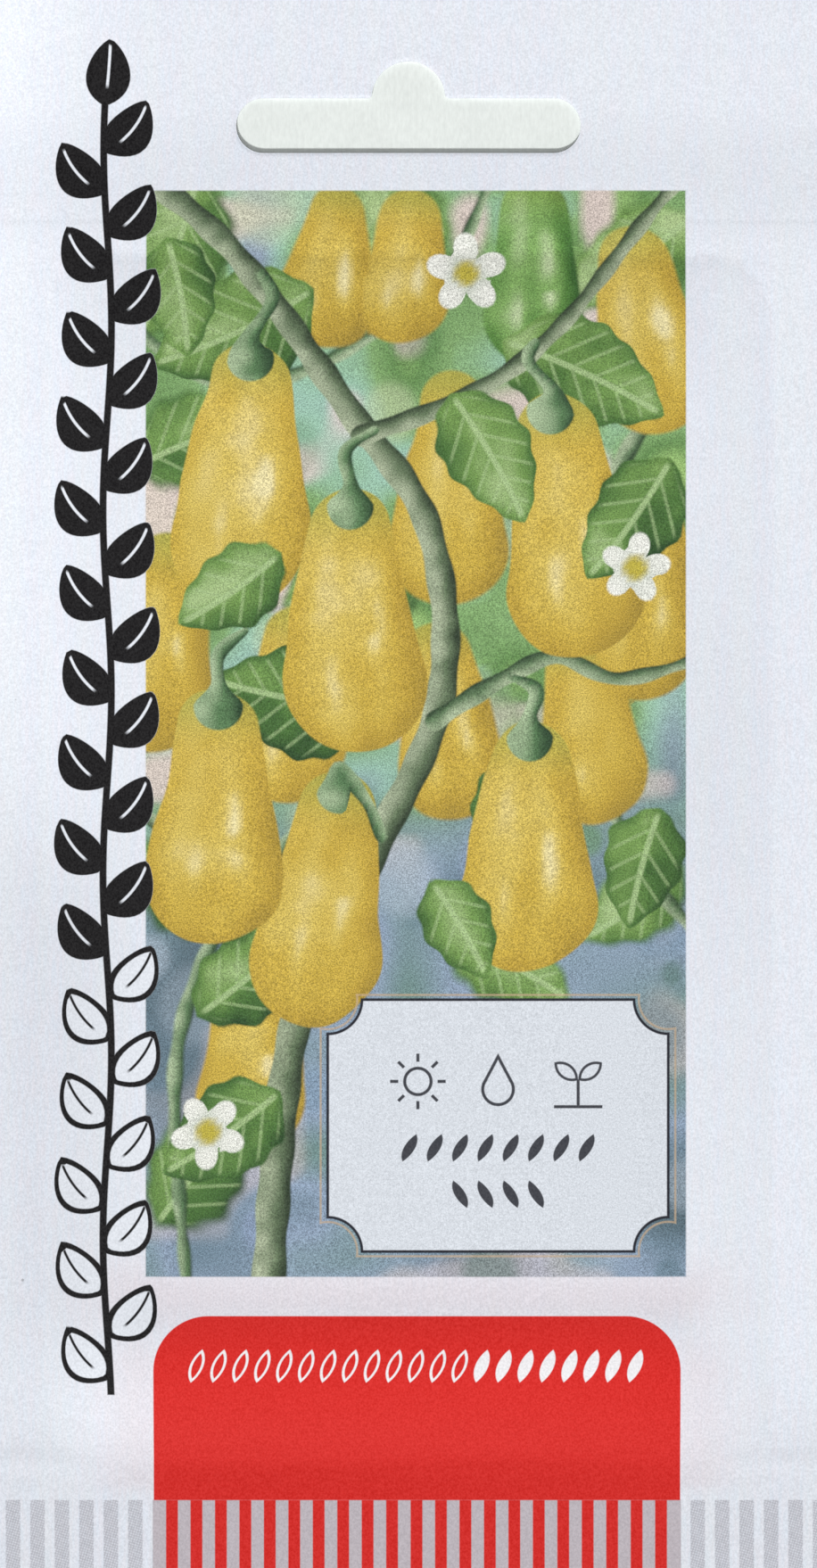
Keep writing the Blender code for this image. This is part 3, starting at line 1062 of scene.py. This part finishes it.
def pictureInk(tree, dots, x, y, colour):
    # the painted layers over each other, with ribs and veins in the leaves, in the picture's frame
    painted, _ = readInk(tree, "backdrop")
    for name, (draw, soft, _) in pictureLayers.items():
        ink, depth = readInk(tree, name)
        if draw is drawLeaf:
            along, across, _ = readPlaces(tree, name + "Veins")
            rise = (along - abs(across) * veins["slant"]) / veins["pitch"]
            vein = inside(veins["half"] - abs(reckon("WRAP", rise, 0.5, -0.5)), 0.065) * veins["strength"]
            rib = inside(veins["ribHalf"] - abs(across), 0.14) * veins["ribStrength"]
            ink = mixInk(most(vein, rib) * ease(depth, 0.2, 0.9), ink, leafVein)
        painted = mixInk(inside(depth, soft), painted, ink)
    painted = shaded(dots, painted, 0.58, 1.39)
    return mixInk(inside(boxDepth(x, y, picture), 0.10), colour, painted)


def sprigInk(tree, x, y, colour):
    # the swaying stem and its leaves, which have a rib and are solid or in outline
    depth, across, along = readPlaces(tree, "sprigLeaves")
    pick, _, _ = readPlaces(tree, "sprigSolid")
    sway = sprig["x"] + sprig["sway"] * reckon("SINE", y / sprig["swayLength"])
    ends = least(y - sprig["low"], sprig["high"] - y)
    stem = inside(least(sprig["stemHalf"] - abs(x - sway), ends), 0.07)
    leaf = inside(depth)
    rib = inside(sprig["ribHalf"] - abs(across)) * ease(along, 1.6, 2.2) * ease(depth, 0.35, 0.6)
    outline = most(inside(sprig["outlineHalf"] - abs(depth - sprig["outlineIn"])), rib)
    pick = inside(pick - 0.5, 0.05)
    colour = mixInk(leaf, colour, inks["paper"])
    return mixInk(most(leaf * (1 - rib) * pick + outline * (1 - pick), stem), colour, inks["black"])


def paperFinish(name, colour, addInk=None):
    # white laminate, printed by addInk, which takes and gives back the colour so far
    made, tree, shader, place = startFinish(name, laminate["roughness"], laminate["gloss"])
    x, y = (part / mm for part in partsOf(place)[:2])
    shown = paperBase(tree, place, colour)
    if addInk:
        shown = addInk(tree, place, x, y, shown)
    tooth = ease(grain(tree, place, laminate["tooth"], 2.0, 0.7, (1, 0.8, 1)), 0.2, 0.8)
    shown = shaded(tooth, shown, 1 - laminate["toothDark"], 1 + laminate["toothDark"])
    shown = mixInk(tooth * laminate["haze"], shown, (1.0, 1.0, 1.0))
    tree.links.new(shown.socket, shader.inputs["Base Color"])
    paperBump(tree, shader, place, x, y)
    return made


def paintedLightShade(x, y, colour):
    # painted light and shade where light falls on the sheet's relief: painted light at the upper left,
    # painted shade down the margins and at the foot, and darker along the top of the red band
    paintedBright = hump(x + 41, 8.5) * ease(y, -12.0, 20.0) * 0.12 + hump(farOff(x + 40, y - 76), 16.0) * 0.07
    paintedBright = paintedBright + hump(farOff(x + 29, y + 59.5), 4.0) * 0.05
    leftPaintedShade = hump(x + 33, 8.0) * ease(y, 4.0, -16.0) * ease(y, -62.0, -48.0) * 0.11
    paintedShade = leftPaintedShade + hump(x - 29, 6.0) * hump(y - 0.5, 19.0) * 0.05
    paintedShade = paintedShade + hump(y + 50.4, 2.8) * ease(abs(x), 29.5, 25.0) * 0.08
    foot = ease(y, -52.0, -60.0) * 0.02 + ease(y, -57.0, -65.0) * 0.06
    return shaded(1.0 + paintedBright - paintedShade - foot, colour, 0.0, 1.0)


def blushed(x, y, colour):
    # the white turns a little pink beside the red
    share = hump(y + 48.4, 3.2) * ease(abs(x), 36.0, 24.0) * 0.7
    beside = hump(abs(x - 0.8) - 26.5, 3.6) * ease(y, -49.0, -56.0) * ease(y, -68.0, -66.0) * 0.6
    return mixInk(most(share, beside), colour, inks["blush"])


def printedPicture(tree, place, x, y, colour):
    # the picture and the label, in a grain of fine dots
    dots = ease(grain(tree, place, 0.12 * mm, 1.0, 0.8), 0.25, 0.75)
    colour = pictureInk(tree, dots, x, y, blushed(x, y, colour))
    colour = plaqueInk(dots, x, y, colour)
    return paintedLightShade(x, y, sprigInk(tree, x, y, colour))


def printedBand(tree, place, x, y, colour):
    colour = bandInk(tree, place, x, y, stripeInk(x, y, blushed(x, y, colour)))
    return paintedLightShade(x, y, sprigInk(tree, x, y, colour))


def printedMargin(tree, place, x, y, colour):
    return paintedLightShade(x, y, sprigInk(tree, x, y, blushed(x, y, colour)))


def calendarInk(x, y, colour):
    # a sowing calendar of twelve months in outline, with bars for sowing, planting out and harvest
    monthWide = (calendar["right"] - calendar["left"]) / 12
    rowHigh = (calendar["high"] - calendar["low"]) / 4
    inBox = boxDepth(x, y, calendar)
    month, row = (x - calendar["left"]) / monthWide, (y - calendar["low"]) / rowHigh
    fromMiddle = abs(row - reckon("FLOOR", row) - 0.5)
    inRow = inside(calendar["barHalf"] - fromMiddle, 0.02) * inside(inBox - 0.05, 0.05)
    for number, first, last, ink in calendar["bars"]:
        bar = inside(0.45 - abs(reckon("FLOOR", row) - number), 0.05) * inRow
        bar = bar * inside(least(month - first, last - month), 0.02)
        colour = mixInk(bar, colour, inks[ink])
    upright, level = (
        inside(calendar["lineHalf"] - abs(part - reckon("ROUND", part)) * pitch, 0.05)
        for part, pitch in ((month, monthWide), (row, rowHigh))
    )
    lines = most(upright, level) * inside(inBox + 0.05, 0.05)
    return mixInk(lines * 0.8, colour, inks["plaqueLine"])


def printedBack(tree, place, x, y, colour):
    # band, stripes, sowing calendar, garden signs and lines for notes
    colour = bandInk(tree, place, -x, y, stripeInk(-x, y, colour))
    colour = calendarInk(-x, y, colour)
    larger = backSigns["larger"]
    signs = gardenSigns(-x / larger, (y - backSigns["y"]) / larger, backSigns["step"])
    colour = mixInk(signs, colour, inks["plaqueLine"])
    for number, half in enumerate(backRules["halves"]):
        fromRule = abs(y - (backRules["high"] - backRules["step"] * number))
        rule = inside(backRules["lineHalf"] - fromRule, 0.05) * inside(half - abs(x), 0.05)
        colour = mixInk(rule, colour, inks["plaqueLine"])
    return colour


# Front and back sheets

tree, known = sheetTree()
punch = slotPunch()
liner = paperFinish("paperLiner", inks["liner"])
common = {
    "Width": packet["wide"],
    "Length": packet["long"],
    "Pocket half width": packet["pocketHalf"],
    "Pocket top": packet["pocketTop"],
    "Pocket bottom": packet["pocketLow"],
    "Header settle": packet["settle"],
    "Laminate": packet["laminate"],
    "Paper": liner,
}
backUnder = packet["seamHeight"] - packet["seamGap"] / 2 - packet["laminate"]
frontSheet = makeSheet("frontSheet", tree, known, punch, {
    **common,
    "Cells across": round(packet["wide"] / frontShape["cell"]),
    "Cells along": round(packet["long"] / frontShape["cell"]),
    "Seam height": packet["seamHeight"] + packet["seamGap"] / 2,
    "Rise": frontShape["rise"],
    "Crown": frontShape["crown"],
    "Ramp": frontShape["ramp"],
    "Header drop": backUnder,
    "Relief": 1.0,
    "Wave": frontShape["wave"],
    "Draw": frontShape["draw"],
})
print("front sheet:", len(frontSheet.data.vertices), "points")
backSheet = makeSheet("backSheet", tree, known, punch, {
    **common,
    "Cells across": round(packet["wide"] / backShape["cell"]),
    "Cells along": round(packet["long"] / backShape["cell"]),
    "Seam height": backUnder,
    "Rise": -backUnder,
    "Crown": 0.0,
    "Ramp": backShape["ramp"],
    "Header drop": backUnder,
    "Relief": 0.0,
    "Wave": 0.0,
    "Draw": 0.0,
})
bpy.data.objects.remove(punch)
printPicture(frontSheet.data)
printSprig(frontSheet.data)
frontFinishes = [
    liner,
    paperFinish("printedMargin", inks["paper"], printedMargin),
    paperFinish("printedPicture", inks["paper"], printedPicture),
    paperFinish("printedBand", inks["paper"], printedBand),
]
dressSheet(frontSheet, frontFinishes, chooseFront)
dressSheet(backSheet, [liner, paperFinish("printedBack", inks["paper"], printedBack)], chooseBack)
sheets = (frontSheet, "front_panel", "printed_paper"), (backSheet, "back_panel", "back_paper")
for sheet, node, finish in sheets:
    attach(sheet, "root")
    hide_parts(node)
print("sheets printed")


# Seeds: one finely modelled seed, set by a tree where each loose seed lies in the pocket

seedShape = {
    "count": 15,
    "halfLong": 1.80 * mm,
    "halfWide": 1.60 * mm,
    "halfThick": 0.42 * mm,
    "beak": 0.35 * mm,
    "beakSpread": 0.45,
    "narrowing": 0.12,
    "flatness": 0.62,
    "dish": 0.30,           # share of the thickness that is missing in the middle
    "dishReach": 0.75,
    "pits": 0.06,
    "rings": 28,
    "segments": 56,
}
seedInputs = {"Seed": "NodeSocketObject", "Coat": "NodeSocketMaterial"}


def modelSeed():
    # a flat round seed with a blunt beak, a swollen rim and slightly dished, pitted faces
    shape = bmesh.new()
    segments, rings = seedShape["segments"], seedShape["rings"]
    bmesh.ops.create_uvsphere(shape, u_segments=segments, v_segments=rings, radius=1)
    reaches = []
    for vertex in shape.verts:
        a, b, c = vertex.co
        reach = math.hypot(a, b)
        reaches.append(reach)
        beak = seedShape["beak"] * math.exp(-((math.atan2(b, a) / seedShape["beakSpread"]) ** 2)) * reach
        dish = 1 - seedShape["dish"] * (1 - min(reach / seedShape["dishReach"], 1) ** 2)
        pits = 1 - seedShape["pits"] * math.sin(a * 19) * math.sin(b * 17) * (1 - reach)
        flat = math.copysign(abs(c) ** seedShape["flatness"], c) * dish * pits
        x = seedShape["halfLong"] * a + beak
        y = seedShape["halfWide"] * b * (1 - seedShape["narrowing"] * a)
        vertex.co = (x, y, seedShape["halfThick"] * flat)
    mesh = bpy.data.meshes.new("seedModel")
    shape.to_mesh(mesh)
    shape.free()
    mesh.shade_smooth()
    mesh.attributes.new("rim", "FLOAT", "POINT").data.foreach_set("value", reaches)
    return addObject("seedModel", mesh)


def seedTree():
    # sets a seed on every point, turned by the attribute turn
    tree, given, known = startTree("loose seeds", seedInputs)
    info = geoNode(tree, "GeometryNodeObjectInfo", Object=given["Seed"])
    turn = geoNode(tree, "GeometryNodeInputNamedAttribute", Name="turn")
    aim = geoNode(tree, "ShaderNodeCombineXYZ", Z=Wire(tree, turn.outputs["Attribute"]))
    placed = geoNode(
        tree, "GeometryNodeInstanceOnPoints",
        Points=given["Geometry"], Instance=Wire(tree, info.outputs["Geometry"]), Rotation=aim,
    )
    finishTree(tree, placed, given["Coat"])
    return tree, known


def seedPlace(node):
    # the middle and turn of a loose seed, whose beak is its farthest point from its mean
    spots = np.array([vertex.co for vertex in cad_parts[node].data.vertices])
    fromMean = spots - spots.mean(axis=0)
    farthest = np.hypot(fromMean[:, 0], fromMean[:, 1]).argmax()
    turn = math.atan2(fromMean[farthest, 1], fromMean[farthest, 0])
    reach = seedShape["halfLong"] + seedShape["beak"]
    x, y = spots[farthest, 0] - reach * math.cos(turn), spots[farthest, 1] - reach * math.sin(turn)
    return (x, y, (spots[:, 2].min() + spots[:, 2].max()) / 2), turn


def seedFinish():
    # straw-coloured coat, browner and rougher at the rim, with fine wrinkles
    made, tree, shader, place = startFinish("seedCoat", 0.62, 0.3)
    rim = readAttribute(tree, "rim", "Fac")[0]
    straw = shaded(grain(tree, place, 0.7 * mm, 4.0, 0.6), inks["seedStraw"], 0.82, 1.12)
    edge = ease(rim, 0.70, 0.98) * (0.35 + grain(tree, place, 0.3 * mm, 2.0) * 0.7)
    tree.links.new(mixInk(edge, straw, inks["seedRim"]).socket, shader.inputs["Base Color"])
    addBump(shader, grain(tree, place, 0.16 * mm, 3.0, 0.6), 0.03 * mm, 0.5)
    return made


def makeSeeds():
    nodes = [f"seed_{number:02d}" for number in range(1, seedShape["count"] + 1)]
    places = [seedPlace(node) for node in nodes]
    mesh = bpy.data.meshes.new("seedSpots")
    mesh.from_pydata([spot for spot, _ in places], [], [])
    mesh.attributes.new("turn", "FLOAT", "POINT").data.foreach_set("value", [turn for _, turn in places])
    spots = addObject("seedSpots", mesh)
    model = modelSeed()
    tree, known = seedTree()
    maker = spots.modifiers.new("seeds", "NODES")
    maker.node_group = tree
    maker[known["Seed"]] = model
    maker[known["Coat"]] = seedFinish()
    seeds = settled(spots, "looseSeeds")
    bpy.data.objects.remove(model)
    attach(seeds, "root")
    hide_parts(*nodes)
    return seeds


looseSeeds = makeSeeds()
print("seeds placed:", len(looseSeeds.data.polygons), "faces")


# Stage: a pale table, soft studio light and the camera straight above

studio = {
    "table": 1.6,
    "gap": 0.02 * mm,       # under the packet, so that their faces don't coincide
    "tableTone": tint(233, 238, 234),
    "skyTone": (0.985, 0.99, 1.0),
    "sky": 0.38,
    "sun": 2.78,
    "sunFrom": (-0.30, -1.0, 1.05),
    "sunWide": 9,           # degrees across, so that its shadows stay soft
    "lens": 150,
    "film": 36,
    "focus": 0.8 * mm,      # how far under the packet's top the level lies that just fills the frame
}


def makeTable():
    half = studio["table"] / 2
    mesh = bpy.data.meshes.new("table")
    corners = [(-half, -half, 0), (half, -half, 0), (half, half, 0), (-half, half, 0)]
    mesh.from_pydata(corners, [], [(0, 1, 2, 3)])
    table = addObject("table", mesh)
    table.location.z = -studio["gap"]
    made, tree, shader, place = startFinish("tableTop", 0.8, 0.1)
    tooth = grain(tree, place, 0.3 * mm, 2.0, 0.7, (1, 0.3, 1)) * 0.7 + grain(tree, place, 4 * mm, 3.0) * 0.3
    tone = shaded(ease(tooth, 0.2, 0.8), studio["tableTone"], 0.90, 1.06)
    tree.links.new(tone.socket, shader.inputs["Base Color"])
    mesh.materials.append(made)


def makeStudio():
    # even light from above with a soft sun from the foot, and the camera at the scan's view
    scene = bpy.context.scene
    scene.view_settings.view_transform = "Standard"
    world = bpy.data.worlds.new("studio")
    world.use_nodes = True
    sky = world.node_tree.nodes["Background"]
    sky.inputs["Color"].default_value = (*studio["skyTone"], 1.0)
    sky.inputs["Strength"].default_value = studio["sky"]
    scene.world = world
    light = bpy.data.lights.new("softSun", "SUN")
    light.energy = studio["sun"]
    light.angle = math.radians(studio["sunWide"])
    sun = addObject("softSun", light)
    sun.rotation_euler = Vector(studio["sunFrom"]).to_track_quat("Z", "Y").to_euler()
    data = bpy.data.cameras.new("camera")
    data.sensor_fit = "VERTICAL"
    data.sensor_width = data.sensor_height = studio["film"]
    data.lens = studio["lens"]
    data.clip_start, data.clip_end = 0.01, 10
    scene.camera = addObject("camera", data)
    distance = photo["high"] * photo["pixel"] * studio["lens"] / studio["film"]
    scene.camera.location = (0, 0, cadHigh.z - studio["focus"] + distance)


makeTable()
makeStudio()
print("stage ready")
